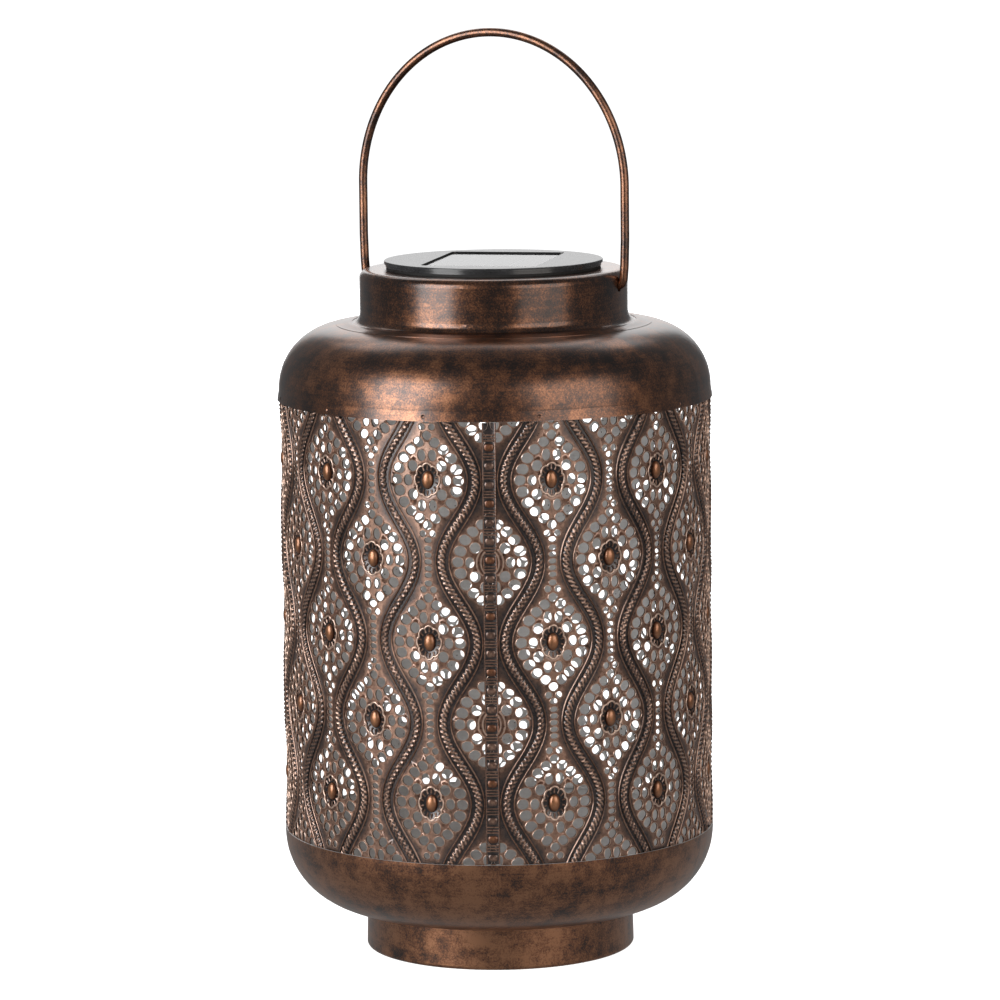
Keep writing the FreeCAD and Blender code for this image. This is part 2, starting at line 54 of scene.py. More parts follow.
COLUMNS = 22
COLUMN_STEP = 2 * math.pi / COLUMNS
SEAM = math.radians(-69.7)   # column 0 lies under the seam strip
PITCH = 62.5                 # from one flower to the next, up a column
FIRST_ODD = 72.0             # height of the lowest flower of an odd column
FIRST_EVEN = FIRST_ODD + PITCH / 2
SKIN = 84.0                  # radius of the filigree's flat ground
SKIN_SHEET = 0.45
PATTERN_RADIUS = 84.6        # the flat pattern is rolled at this radius, the sleeve's outer face in the CAD
COLUMN_WIDTH = COLUMN_STEP * PATTERN_RADIUS
SWING = 6.8                  # how far the ropes swing to each side
LINE_GAP = 2.6               # from a rope's middle to the thin line beside it
LINE_GAP_SWING = 0.4         # and how much more that is at a cell's middle
FIELD_MARGIN = 0.6           # from the thin line's middle to the pierced field inside it
DARK_LINE = 0.55             # from the field's edge to where the ground is darkest, under the thin line
HOLE_MARGIN = 2.4            # holes and flowers nearer than this to the sleeve's ends are left out
FLOWER_MARGIN = 9.0
SMALL_HOLE = 1.4             # holes with a smaller half height than this are small ones
RIM = 0.29                   # width of the raised rim round a hole
SLEEVE_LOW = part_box("filigree_sleeve")[0].z / MM
SLEEVE_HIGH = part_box("filigree_sleeve")[1].z / MM
PAN_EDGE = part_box("base_pan")[1].z / MM
SHOULDER_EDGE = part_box("shoulder_shell")[0].z / MM
SHELL_INSIDE = 84.55         # the sleeve's ends are pressed flat to pass inside the shells


# Meshes -------------------------------------------------------------------------------------------
def make_piece(name, points, faces, materials, body, replaces=(), face_slots=None, wear_and_shade=None,
               sharp_angle=40):
    """A mesh object from points in millimetres, with a number per point that the shader reads: how rubbed the
    point is, less the painted shade in a rope's grooves.
    """
    mesh = bpy.data.meshes.new(name)
    mesh.from_pydata((np.asarray(points, float) * MM).tolist(), [], faces)
    mesh.validate(clean_customdata=False)
    for material in materials:
        mesh.materials.append(material)
    if face_slots is not None:
        mesh.polygons.foreach_set("material_index", np.asarray(face_slots, np.int32))
    if wear_and_shade is not None:
        layer = mesh.attributes.new("wear_and_shade", "FLOAT", "POINT")
        layer.data.foreach_set("value", np.asarray(wear_and_shade, np.float32))
    mesh.polygons.foreach_set("use_smooth", np.full(len(mesh.polygons), True))
    mesh.update()
    mesh.set_sharp_from_angle(angle=math.radians(sharp_angle))
    piece = bpy.data.objects.new(name, mesh)
    bpy.context.scene.collection.objects.link(piece)
    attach(piece, body)
    if replaces:
        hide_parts(*replaces)


class Builder:
    """Collects points, faces, the faces' material slots and per-point rubbing and painted shade for one mesh.
    """

    def __init__(self):
        self.points = []
        self.faces = []
        self.slots = []
        self.wear_and_shade = []
        self.count = 0

    def add(self, points, faces, wear_and_shade=0.5, slot=0):
        points = np.asarray(points, float).reshape(-1, 3)
        base = self.count
        self.points.append(points)
        self.count += len(points)
        self.wear_and_shade.append(np.broadcast_to(np.asarray(wear_and_shade, float), (len(points),)))
        self.faces.extend([tuple(int(i) + base for i in f) for f in faces])
        self.slots.extend([slot] * len(faces) if np.isscalar(slot) else list(slot))

    def arrays(self):
        return np.concatenate(self.points), self.faces, self.slots, np.concatenate(self.wear_and_shade)


def grid_faces(rows, columns, close_rows=False):
    """Quads over a grid of points stored row by row. Each row is a closed loop."""
    faces = []
    for i in range(rows if close_rows else rows - 1):
        for j in range(columns):
            a = i * columns + j
            b = i * columns + (j + 1) % columns
            c = ((i + 1) % rows) * columns + (j + 1) % columns
            d = ((i + 1) % rows) * columns + j
            faces.append((a, b, c, d))
    return faces


def capped_faces(rows, columns):
    """The same, with the first and the last row closed by a face."""
    first = tuple(range(columns))
    last = tuple(range((rows - 1) * columns, rows * columns))
    return grid_faces(rows, columns) + [last, first[::-1]]


# Filigree pattern, drawn flat ---------------------------------------------------------------------
# u runs round the sleeve from a column's centre line, and v up from one of its flowers.
def rope_offset(v):
    return COLUMN_WIDTH / 2 + SWING * math.cos(2 * math.pi * v / PITCH)


def rope_stretch(v):
    """How much a distance square to the rope grows when it is measured along u."""
    slope = SWING * 2 * math.pi / PITCH * math.sin(2 * math.pi * v / PITCH)
    return math.sqrt(1 + slope * slope)


def line_gap(v):
    """From a rope's middle to the thin line on the side of this column."""
    return LINE_GAP + LINE_GAP_SWING * math.cos(2 * math.pi * v / PITCH)


def field_half_width(v):
    return rope_offset(v) - (line_gap(v) + FIELD_MARGIN) * rope_stretch(v)


def hole_centres(plain):
    """(u, v, widest half width, widest half height) of one cell's holes. A plain cell, under the seam
    strip, has no small ones."""
    inner = [(7.8, 0.0, 1.7, 2.1), (5.75, 5.5, 2.0, 2.1), (2.15, 9.6, 1.6, 2.3)]
    outer = [(12.35, 0.0, 2.2, 2.0), (11.45, 4.3, 2.35, 2.05), (9.4, 8.6, 2.4, 2.0), (6.5, 11.85, 2.3, 1.95),
             (3.15, 14.6, 2.2, 1.9), (0.0, 17.35, 1.9, 1.9)]
    tips = [] if plain else [(2.0, 20.5, 1.3, 1.3), (0.0, 22.9, 1.7, 1.1)]
    holes = []
    for u, v, wide, high in inner + outer + tips:
        for side_u in ((1, -1) if u else (1,)):
            for side_v in ((1, -1) if v else (1,)):
                holes.append((side_u * u, side_v * v, wide, high))
    ladder = [] if plain else [PITCH / 2 + 2.6 * i for i in range(-2, 3)]
    return holes + [(0.0, v, 1.65, 1.0) for v in ladder]


def hole_radii(centre, limits, neighbours, sides):
    """The distance from a hole's centre to its edge in each direction: as far as the half-way lines to
    its neighbours and the field's edge allow, with the corners rounded off."""
    turns = np.arange(sides) * 2 * math.pi / sides
    cos, sin = np.cos(turns), np.sin(turns)
    most = 1 / np.sqrt((cos / limits[0]) ** 2 + (sin / limits[1]) ** 2)
    web = 0.31               # half the metal left between two holes
    edge_web = 0.1           # the metal left between a hole and the field's edge
    narrowest = 0.9          # half the width of a hole that is squeezed by the edge
    facing = 0.05            # how far a direction has to point towards something to be stopped by it
    for other in neighbours:
        du, dv = other[0] - centre[0], other[1] - centre[1]
        far = math.hypot(du, dv)
        along = (cos * du + sin * dv) / far
        ahead = along > facing
        most[ahead] = np.minimum(most[ahead], (far / 2 - web) / along[ahead])
    edge = field_half_width(centre[1]) - abs(centre[0]) - edge_web
    along = cos * math.copysign(1, centre[0])
    ahead = along > facing
    most[ahead] = np.minimum(most[ahead], max(edge, narrowest) / along[ahead])
    reach = most
    for _ in range(2):
        reach = 0.5 * reach + 0.25 * (np.roll(reach, 1) + np.roll(reach, -1))
    return np.minimum(reach, most)


def column_cells(first):
    """Heights of the flowers of a column, with one beyond each end for the holes that reach in."""
    return [first + PITCH * i for i in range(-1, 4)]


def has_flower(height):
    return SLEEVE_LOW + FLOWER_MARGIN < height < SLEEVE_HIGH - FLOWER_MARGIN


def column_holes(first, plain, rng):
    """Every hole of a column as (centre u, z, radii by direction, is it small). Each centre is a little off
    its place, as punched sheet is."""
    jitter, near_enough = 0.12, 6.0
    centres = []
    for flower in column_cells(first):
        for u, v, wide, high in hole_centres(plain):
            z = flower + v
            if SLEEVE_LOW + HOLE_MARGIN < z < SLEEVE_HIGH - HOLE_MARGIN:
                small = high < SMALL_HOLE
                share = 0.4 if small else 1.0
                off_u, off_z = rng.uniform(-jitter, jitter) * share, rng.uniform(-jitter, jitter) * share
                centres.append((u + off_u, z + off_z, (wide, high), small, flower))
    holes = []
    for i, (u, z, limits, small, flower) in enumerate(centres):
        near = [(other[0], other[1] - flower) for j, other in enumerate(centres)
                if j != i and max(abs(other[0] - u), abs(other[1] - z)) < near_enough]
        holes.append((u, z, hole_radii((u, z - flower), limits, near, 14 if small else 20), small))
    return holes


def ellipse(half_u, half_v, u, z, sides):
    turns = np.arange(sides) * 2 * math.pi / sides
    return np.stack([u + half_u * np.cos(turns), z + half_v * np.sin(turns)], 1)


def scalloped(half_u, half_v, z, lobes=8, depth=0.13):
    """An oval collar with rounded lobes and a notch between each two."""
    turns = np.arange(12 * lobes) * 2 * math.pi / (12 * lobes)
    scale = 1 - depth + depth * np.abs(np.cos(lobes * turns / 2)) ** 0.6
    return np.stack([half_u * scale * np.cos(turns), z + half_v * scale * np.sin(turns)], 1)


def on_sleeve(flat, height, angle):
    """Flat points to the sleeve: u round it from an angle, z up, height outwards."""
    flat = np.asarray(flat, float)
    turn = angle + flat[:, 0] / PATTERN_RADIUS
    radius = SKIN + np.broadcast_to(np.asarray(height, float), (len(flat),))
    tucked = (flat[:, 1] < PAN_EDGE + 0.1) | (flat[:, 1] > SHOULDER_EDGE - 0.1)
    radius = np.where(tucked, np.minimum(radius, SHELL_INSIDE), radius)
    return np.stack([radius * np.cos(turn), radius * np.sin(turn), flat[:, 1]], 1)


class FlatSheet:
    """Points and edges of a flat sheet, where each point has a height and a wear."""

    def __init__(self):
        self.points = []
        self.heights = []
        self.wear_and_shade = []
        self.edges = []

    def put(self, flat, height, rub_and_shade, closed=True):
        """Adds a path of points joined by edges, and returns their numbers."""
        start = len(self.points)
        self.points.extend(Vector((float(p[0]), float(p[1]))) for p in flat)
        self.heights.extend([height] * len(flat))
        self.wear_and_shade.extend([rub_and_shade] * len(flat))
        path = list(range(start, start + len(flat)))
        self.edges.extend(zip(path, path[1:] + path[:1] if closed else path[1:]))
        return path

    def triangulate(self):
        """Points, heights, wear, triangles, and each added point's new number."""
        verts, _, faces, originals, _, _ = delaunay_2d_cdt(self.points, self.edges, [], 0, 1e-5)
        found = {old: new for new, olds in enumerate(originals) for old in olds}
        flat = np.array([[p.x, p.y] for p in verts])
        heights = np.zeros(len(flat))
        wear_and_shade = np.full(len(flat), 0.15)
        for old, new in found.items():
            heights[new] = self.heights[old]
            wear_and_shade[new] = self.wear_and_shade[old]
        return flat, heights, wear_and_shade, faces, found


def flat_column(first, plain, rng):
    """The flat, triangulated sheet of one column: points, heights, wear, triangles, hole loops and holes."""
    sheet = FlatSheet()
    steps = 150
    levels = [SLEEVE_LOW + (SLEEVE_HIGH - SLEEVE_LOW) * i / steps for i in range(steps + 1)]
    right = [(rope_offset(z - first), z) for z in levels]
    left = [(-u, z) for u, z in right]
    sheet.put(right + left[::-1], 0.0, 0.15)
    for side in (1, -1):
        line = [(side * (field_half_width(z - first) + DARK_LINE), z) for z in levels[1:-1:2]]
        sheet.put(line, 0.0, 0.08, closed=False)
    holes = column_holes(first, plain, rng)
    loops = []
    for u, z, radii, _ in holes:
        turns = np.arange(len(radii)) * 2 * math.pi / len(radii)
        rim = radii + RIM
        loops.append(sheet.put(np.stack([u + rim * np.cos(turns), z + rim * np.sin(turns)], 1), 0.02, 0.62))
    dish = [] if plain else [(5.1, 6.6, 0.0, 0.45), (4.0, 5.4, -0.45, 0.05), (2.6, 3.9, -0.75, 0.0)]
    for flower in filter(has_flower, column_cells(first)):
        for half_u, half_v, height, rub_and_shade in dish:
            sheet.put(ellipse(half_u, half_v, 0, flower, 20), height, rub_and_shade)
    flat, heights, wear_and_shade, faces, found = sheet.triangulate()
    edge_u, edge_z = np.array(right).T
    kept = []
    for face in faces:
        middle = flat[list(face)].mean(0)
        outside = abs(middle[0]) > np.interp(middle[1], edge_z, edge_u) + 1e-6
        if not outside and not inside_any(middle, holes):
            kept.append(tuple(face))
    return flat, heights, wear_and_shade, kept, [[found[i] for i in loop] for loop in loops], holes


def inside_any(point, holes):
    """Whether a flat point lies in a hole or on its rim."""
    furthest, rim_share = 2.8, 0.2
    for u, z, radii, _ in holes:
        du, dz = point[0] - u, point[1] - z
        far = math.hypot(du, dz)
        if far > furthest:
            continue
        place = (math.atan2(dz, du) % (2 * math.pi)) / (2 * math.pi) * len(radii)
        low = int(place) % len(radii)
        high = (low + 1) % len(radii)
        if far < radii[low] * (1 - place % 1) + radii[high] * (place % 1) + rim_share:
            return True
    return False


def column_sheet(build, column, plan):
    """Bends a flat column on to the sleeve: outer face, raised hole rims, hole walls and inner face."""
    flat, heights, wear_and_shade, faces, loops, holes = plan
    angle = SEAM + column * COLUMN_STEP
    outer = on_sleeve(flat, heights, angle)
    inner = on_sleeve(flat, heights - SKIN_SHEET, angle)
    count = len(flat)
    build.add(outer, faces, wear_and_shade)
    build.add(inner, [f[::-1] for f in faces], 0.2, slot=1)
    outer_base = build.count - 2 * count
    inner_base = build.count - count
    for loop, (u, z, radii, small) in zip(loops, holes):
        sides = len(radii)
        turns = np.arange(sides) * 2 * math.pi / sides
        directions = np.stack([np.cos(turns), np.sin(turns)], 1)
        high = 0.3 if small else 0.42

        def ring(grow):
            return np.array([u, z]) + directions * (radii + grow)[:, None]

        start = build.count
        rings = [
            on_sleeve(ring(0.2), high * 0.85, angle),
            on_sleeve(ring(0.08), high, angle),
            on_sleeve(ring(-0.02), high * 0.6, angle),
            on_sleeve(ring(0.0), -SKIN_SHEET, angle),
        ]
        build.add(np.concatenate(rings), [], np.repeat([0.9, 1.0, 0.8, 0.1], sides))
        for i in range(sides):
            j = (i + 1) % sides
            build.faces.append((outer_base + loop[i], outer_base + loop[j], start + j, start + i))
            for k in range(3):
                build.faces.append((start + k * sides + i, start + k * sides + j,
                                    start + (k + 1) * sides + j, start + (k + 1) * sides + i))
            build.faces.append((start + 3 * sides + i, start + 3 * sides + j,
                                inner_base + loop[j], inner_base + loop[i]))
            build.slots.extend([0, 0, 0, 0, 1])


def sweep(build, flat, height, half_width, half_height, angle, sides, wear_top=0.9, wear_low=0.1, twist=None,
          closed=False, deepest=-0.3):
    """A raised bead along a flat path. twist is (strand pitch, the strands' lean, groove depth) for a rope.
    Nothing goes lower than deepest, so that beads don't show through the holes beside them."""
    narrowing = 0.35         # the share of a groove's depth that is also taken off the width
    groove_shade = 0.95             # how much darker a groove's bottom is painted, as painted shade between a rope's strands
    flat = np.asarray(flat, float)
    if closed:
        ahead = np.roll(flat, -1, 0) - np.roll(flat, 1, 0)
    else:
        ahead = np.gradient(flat, axis=0)
    ahead /= np.linalg.norm(ahead, axis=1)[:, None]
    square = np.stack([ahead[:, 1], -ahead[:, 0]], 1)
    run = np.concatenate([[0], np.cumsum(np.linalg.norm(np.diff(flat, axis=0), axis=1))])
    rows, rub_and_shade = [], []
    for k in range(sides):
        turn = 2 * math.pi * (k + 0.5) / sides
        across, up = math.cos(turn), math.sin(turn)
        swell = np.ones(len(flat))
        groove = np.zeros(len(flat))
        if twist:
            pitch, lean, depth = twist
            phase = 2 * math.pi * (run / pitch + lean * across)
            groove = (0.5 + 0.5 * np.cos(phase)) ** 2
            swell = 1 - depth * groove
        place = flat + square * (across * half_width * (1 - narrowing * (1 - swell)))[:, None]
        rows.append(on_sleeve(place, np.maximum(height + up * half_height * swell, deepest), angle))
        # A rope's grooves are darkened here as painted shade between its strands.
        rub_and_shade.append(np.clip(wear_low + (wear_top - wear_low) * max(up, 0) ** 0.5 - groove_shade * groove, 0, 1))
    faces = grid_faces(len(flat), sides, close_rows=True) if closed else capped_faces(len(flat), sides)
    build.add(np.stack(rows, 1), faces, np.stack(rub_and_shade, 1).reshape(-1))


def oval_boss(build, z, angle, half_u, half_v, low, high):
    """A domed oval button of rubbed copper."""
    rings, sides = 7, 20
    rows, rub_and_shade = [], []
    for i in range(rings):
        lift = i / (rings - 1)
        shrink = math.cos(lift * math.pi / 2) ** 0.75 if i < rings - 1 else 0.04
        rows.append(on_sleeve(ellipse(half_u * shrink, half_v * shrink, 0, z, sides),
                              low + (high - low) * math.sin(lift * math.pi / 2), angle))
        rub_and_shade.append(np.full(sides, min(1.0, 0.15 + 1.1 * lift)))
    build.add(np.concatenate(rows), capped_faces(rings, sides), np.concatenate(rub_and_shade), slot=2)


def levels_between(low, high, step):
    count = int(math.ceil((high - low) / step))
    return np.linspace(low, high, count + 1)


def first_flower(column):
    return FIRST_ODD if column % 2 else FIRST_EVEN


def rope_path(column, side, step, shift=0.0, shift_swing=0.0):
    """The rope on one side of a column, or a line beside it at a distance square to the rope."""
    path = []
    for z in levels_between(SLEEVE_LOW + 0.4, SLEEVE_HIGH - 0.4, step):
        v = z - first_flower(column)
        gap = (shift + shift_swing * math.cos(2 * math.pi * v / PITCH)) * rope_stretch(v)
        path.append((side * (rope_offset(v) + gap), z))
    return path


def build_flower(build, middle, angle):
    """A domed boss in a dish, with petals round it and a scalloped collar outside them."""
    petals = 14
    oval_boss(build, middle, angle, 2.35, 3.6, -0.9, 1.05)
    for i in range(petals):
        turn = 2 * math.pi * (i + 0.5) / petals
        petal = [(r * math.cos(turn) * 0.8, middle + r * math.sin(turn)) for r in (4.0, 4.6, 5.3, 5.9)]
        sweep(build, petal, -0.45, 0.36, 0.42, angle, 6, 0.6, 0.1, deepest=-0.8)
    sweep(build, scalloped(5.0, 6.5, middle), 0.05, 0.42, 0.5, angle, 8, 1.0, 0.4, closed=True)


def build_seam_arcs(build, middle, angle):
    """Where the strip runs over a flower's place, only two pairs of arcs show beside it."""
    for half_u, half_v in ((3.45, 4.9), (5.1, 6.0)):
        for turn in (0, math.pi):
            arc = [(half_u * math.cos(turn + a), middle + half_v * math.sin(turn + a))
                   for a in np.linspace(-1.0, 1.0, 17)]
            sweep(build, arc, 0.05, 0.5, 0.85, angle, 8, 1.0, 0.3)


def build_filigree(copper, tin, bright):
    """Two columns to a piece, so that each stays a size that tools open easily. Three different plans of
    either kind of column take turns at random."""
    rng = random.Random(11)
    variants = 3
    plans = [[flat_column(first, False, rng) for _ in range(variants)] for first in (FIRST_EVEN, FIRST_ODD)]
    seam_plan = flat_column(FIRST_EVEN, True, rng)
    for pair in range(COLUMNS // 2):
        build = Builder()
        for column in (2 * pair, 2 * pair + 1):
            under_seam = column == 0
            angle = SEAM + column * COLUMN_STEP
            plan = seam_plan if under_seam else plans[column % 2][rng.randrange(variants)]
            column_sheet(build, column, plan)
            twist = (2.0, 0.62 if column % 2 else -0.62, 0.6)
            sweep(build, rope_path(column, 1, 0.36), 0.1, 1.5, 1.2, angle, 9, twist=twist)
            for side in (1, -1):
                line = rope_path(column, side, 1.5, -LINE_GAP, -LINE_GAP_SWING)
                sweep(build, line, 0.05, 0.36, 0.5, angle, 6, 0.65, 0.1)
            build_middle = build_seam_arcs if under_seam else build_flower
            for middle in filter(has_flower, column_cells(first_flower(column))):
                build_middle(build, middle, angle)
        points, faces, slots, wear_and_shade = build.arrays()
        make_piece(f"filigree_{pair:02d}", points, faces, [copper, tin, bright], "lantern",
                   ["filigree_sleeve"], slots, wear_and_shade, sharp_angle=55)


def pillow(build, middle, half_u, half_v, low, high, slot):
    """A rounded bead, square in plan with soft corners. The squareness is a superellipse's power."""
    rings, sides, squareness = 6, 20, 3.2
    turns = (np.arange(sides) + 0.5) * 2 * math.pi / sides
    blunt = (np.abs(np.cos(turns)) ** squareness + np.abs(np.sin(turns)) ** squareness) ** (-1 / squareness)
    rows, rub_and_shade = [], []
    for i in range(rings):
        lift = i / (rings - 1)
        shrink = max(math.cos(lift * math.pi / 2) ** 0.7, 0.05)
        flat = np.stack([middle[0] + half_u * shrink * blunt * np.cos(turns),
                         middle[1] + half_v * shrink * blunt * np.sin(turns)], 1)
        rows.append(on_sleeve(flat, low + (high - low) * math.sin(lift * math.pi / 2), SEAM))
        rub_and_shade.append(np.full(sides, 0.1 + 0.5 * lift))
    build.add(np.concatenate(rows), capped_faces(rings, sides), np.concatenate(rub_and_shade), slot=slot)


def build_seam(copper, bright):
    """The raised strip over the seam: a flat band with low edge beads, rounded blocks and thin ribs."""
    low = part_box("seam_strip")[0].z / MM
    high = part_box("seam_strip")[1].z / MM
    build = Builder()
    half = 2.7
    # Across the band: place, height and wear.
    band = [(-half, 0.0, 0.1), (-half, 0.35, 0.3), (-half + 0.3, 0.58, 0.55), (-half + 0.65, 0.4, 0.05),
            (half - 0.65, 0.4, 0.05), (half - 0.3, 0.66, 0.6), (half, 0.38, 0.3), (half, 0.0, 0.1)]
    rows, rub_and_shade = [], []
    levels = levels_between(low, high, 1.5)
    for z in levels:
        rows.append(on_sleeve([(u, z) for u, _, _ in band], [height for _, height, _ in band], SEAM))
        rub_and_shade.append([wear_and_shade for _, _, wear_and_shade in band])
    build.add(np.concatenate(rows), capped_faces(len(levels), len(band)), np.concatenate(rub_and_shade))
    pitch, first, last = 7.2, low + 2.4, high - 5.5
    z, block = first, 0
    while z < last:
        # Every third block takes the bright copper as a painted highlight, the others keep the lacquer.
        pillow(build, (0.0, z), 1.95, 1.5, 0.35, 0.95, 1 if block % 3 == 1 else 0)
        for lift in (2.6, 3.7, 4.8):
            rib = [(u, z + lift) for u in np.linspace(-2.3, 2.3, 5)]
            sweep(build, rib, 0.4, 0.32, 0.3, SEAM, 8, 0.6, 0.05)
        z, block = z + pitch, block + 1
    points, faces, slots, wear_and_shade = build.arrays()
    make_piece("seam_strip_beaded", points, faces, [copper, bright], "lantern",
               ["seam_strip"], slots, wear_and_shade, sharp_angle=50)


# Materials ----------------------------------------------------------------------------------------
class Shader:
    """A small helper that lays out one node material."""

    def __init__(self, name):
        self.material = bpy.data.materials.new(name)
        self.material.use_nodes = True
        self.tree = self.material.node_tree
        self.tree.nodes.clear()
        self.output = self.node("ShaderNodeOutputMaterial")
        self.surface = self.node("ShaderNodeBsdfPrincipled")
        self.link(self.surface.outputs["BSDF"], self.output.inputs["Surface"])
        self.place = self.node("ShaderNodeTexCoord").outputs["Object"]

    def node(self, kind, **settings):
        made = self.tree.nodes.new(kind)
        for key, value in settings.items():
            setattr(made, key, value)
        return made

    def link(self, start, end):
        self.tree.links.new(start, end)

    def set(self, **values):
        for key, value in values.items():
            self.surface.inputs[key.replace("_", " ")].default_value = value

    def wear_and_shade(self):
        """The number that each point of a built mesh carries."""
        return self.node("ShaderNodeAttribute", attribute_name="wear_and_shade").outputs["Fac"]

    def noise(self, scale, detail, roughness, stretch=(1, 1, 1), distortion=0.0, seed=0.0):
        mapping = self.node("ShaderNodeMapping")
        mapping.inputs["Scale"].default_value = stretch
        mapping.inputs["Location"].default_value = (seed, seed * 0.7, seed * 1.3)
        self.link(self.place, mapping.inputs["Vector"])
        noise = self.node("ShaderNodeTexNoise")
        noise.inputs["Scale"].default_value = scale
        noise.inputs["Detail"].default_value = detail
        noise.inputs["Roughness"].default_value = roughness
        noise.inputs["Distortion"].default_value = distortion
        self.link(mapping.outputs["Vector"], noise.inputs["Vector"])
        return noise.outputs["Fac"]

    def math(self, kind, a, b=None):
        made = self.node("ShaderNodeMath", operation=kind)
        for value, socket in ((a, made.inputs[0]), (b, made.inputs[1])):
            if value is None:
                continue
            if isinstance(value, (int, float)):
                socket.default_value = value
            else:
                self.link(value, socket)
        return made.outputs[0]

    def blend(self, parts):
        """The weighted sum of several values, as (weight, value) pairs."""
        total = None
        for weight, value in parts:
            term = self.math("MULTIPLY", value, weight)
            total = term if total is None else self.math("ADD", total, term)
        return total

    def ramp(self, value, stops):
        made = self.node("ShaderNodeValToRGB")
        ramp = made.color_ramp
        while len(ramp.elements) < len(stops):
            ramp.elements.new(0.5)
        for element, (place, colour) in zip(ramp.elements, stops):
            element.position = place
            element.color = (*colour, 1.0)
        self.link(value, made.inputs["Fac"])
        return made.outputs["Color"]

    def grained(self, noise, low, high):
        """Roughness from low to high, over the range where most of a noise's values lie."""
        made = self.node("ShaderNodeMapRange")
        made.inputs["From Min"].default_value = 0.3
        made.inputs["From Max"].default_value = 0.7
        made.inputs["To Min"].default_value = low
        made.inputs["To Max"].default_value = high
        self.link(noise, made.inputs["Value"])
        self.link(made.outputs["Result"], self.surface.inputs["Roughness"])

    def mix(self, factor, a, b):
        made = self.node("ShaderNodeMix", data_type="RGBA")
        self.link(factor, made.inputs["Factor"])
        for value, socket in ((a, made.inputs["A"]), (b, made.inputs["B"])):
            if isinstance(value, tuple):
                socket.default_value = (*value, 1.0)
            else:
                self.link(value, socket)
        return made.outputs["Result"]

    def bump(self, height, strength, distance):
        made = self.node("ShaderNodeBump")
        made.inputs["Strength"].default_value = strength
        made.inputs["Distance"].default_value = distance
        self.link(height, made.inputs["Height"])
        self.link(made.outputs["Normal"], self.surface.inputs["Normal"])


def lacquer(s, roughness):
    """A thin clear lacquer over the colour."""
    s.set(Coat_Weight=1.0, Coat_Roughness=roughness, Coat_IOR=1.65)


def antique_copper(name, seed, dark=0.0, streaks=(30, 30, 620), blotches=0.36, rough=(0.28, 0.42),
                   coat=0.28):
    """Dark lacquer over copper, rubbed back in blotches and fine level streaks. Stronger blotches raise the
    mean, which is taken off again before the colours are read."""
    usual_blotches, noise_mean = 0.27, 0.5
    s = Shader(name)
    cloud = s.noise(30, 4, 0.6, seed=seed, distortion=0.4)
    blotch = s.noise(120, 4, 0.65, seed=seed + 3)
    speckle = s.noise(1500, 3, 0.8, seed=seed + 5)
    streak = s.noise(1.0, 4, 0.7, stretch=streaks, seed=seed + 9)
    total = s.blend([(0.26, cloud), (blotches, blotch), (0.46, speckle), (0.15, streak)])
    centred = s.math("SUBTRACT", total, dark + (blotches - usual_blotches) * noise_mean)
    colour = s.ramp(centred, [
        (0.46, (0.026, 0.014, 0.011)),
        (0.52, (0.065, 0.028, 0.017)),
        (0.57, (0.155, 0.060, 0.026)),
        (0.62, (0.300, 0.115, 0.046)),
        (0.70, (0.480, 0.215, 0.100)),
    ])
    s.link(colour, s.surface.inputs["Base Color"])
    s.set(Metallic=1.0)
    s.grained(s.blend([(0.5, blotch), (0.5, speckle)]), *rough)
    lacquer(s, coat)
    s.bump(s.blend([(0.5, speckle), (0.5, streak)]), 0.22, 0.0002)
    return s.material


def worn_and_shaded_filigree(name, seed, dark=0.0):
    """The same lacquer, with the raised work rubbed bright, the ground left dark, and the rope grooves darker
    as painted shade.
    """
    s = Shader(name)
    wear_and_shade = s.wear_and_shade()
    blotch = s.noise(80, 4, 0.6, seed=seed)
    speckle = s.noise(900, 3, 0.7, seed=seed + 4)
    total = s.blend([(0.56, wear_and_shade), (0.26, blotch), (0.36, speckle)])
    colour = s.ramp(s.math("SUBTRACT", total, dark), [
        (0.30, (0.034, 0.028, 0.028)),
        (0.42, (0.080, 0.058, 0.052)),
        (0.58, (0.190, 0.105, 0.072)),
        (0.72, (0.450, 0.260, 0.180)),
        (0.86, (0.800, 0.580, 0.460)),
    ])
    s.link(colour, s.surface.inputs["Base Color"])
    s.set(Metallic=0.88)
    s.grained(speckle, 0.26, 0.42)
    lacquer(s, 0.2)
    s.bump(speckle, 0.2, 0.0002)
    return s.material


def rubbed_and_highlight_copper(name, seed):
    """Copper polished through the lacquer on the highest work; on every third seam block it is a painted
    highlight.
    """
    s = Shader(name)
    wear_and_shade = s.wear_and_shade()
    speckle = s.noise(900, 3, 0.7, seed=seed)
    colour = s.ramp(s.blend([(0.5, wear_and_shade), (0.5, speckle)]), [
        (0.22, (0.035, 0.018, 0.013)),
        (0.45, (0.230, 0.085, 0.036)),
        (0.75, (0.560, 0.245, 0.110)),
    ])
    s.link(colour, s.surface.inputs["Base Color"])
    s.set(Metallic=1.0)
    s.grained(speckle, 0.36, 0.52)
    lacquer(s, 0.26)
    s.bump(speckle, 0.3, 0.0002)
    return s.material


def bare_tin(name):
    """The sheet's unpainted inner face, dulled, with fine drawing marks."""
    s = Shader(name)
    cloud = s.noise(45, 4, 0.6, seed=2.0)
    grain = s.noise(1.0, 4, 0.7, stretch=(60, 60, 900), seed=5.0)
    speckle = s.noise(900, 3, 0.7, seed=7.0)
    colour = s.ramp(s.blend([(0.5, cloud), (0.25, grain), (0.25, speckle)]), [
        (0.32, (0.50, 0.485, 0.475)),
        (0.5, (0.66, 0.645, 0.635)),
        (0.68, (0.78, 0.77, 0.76)),
    ])
    s.link(colour, s.surface.inputs["Base Color"])
    s.set(Metallic=0.0)
    s.grained(speckle, 0.4, 0.6)
    s.bump(grain, 0.2, 0.0002)
    return s.material


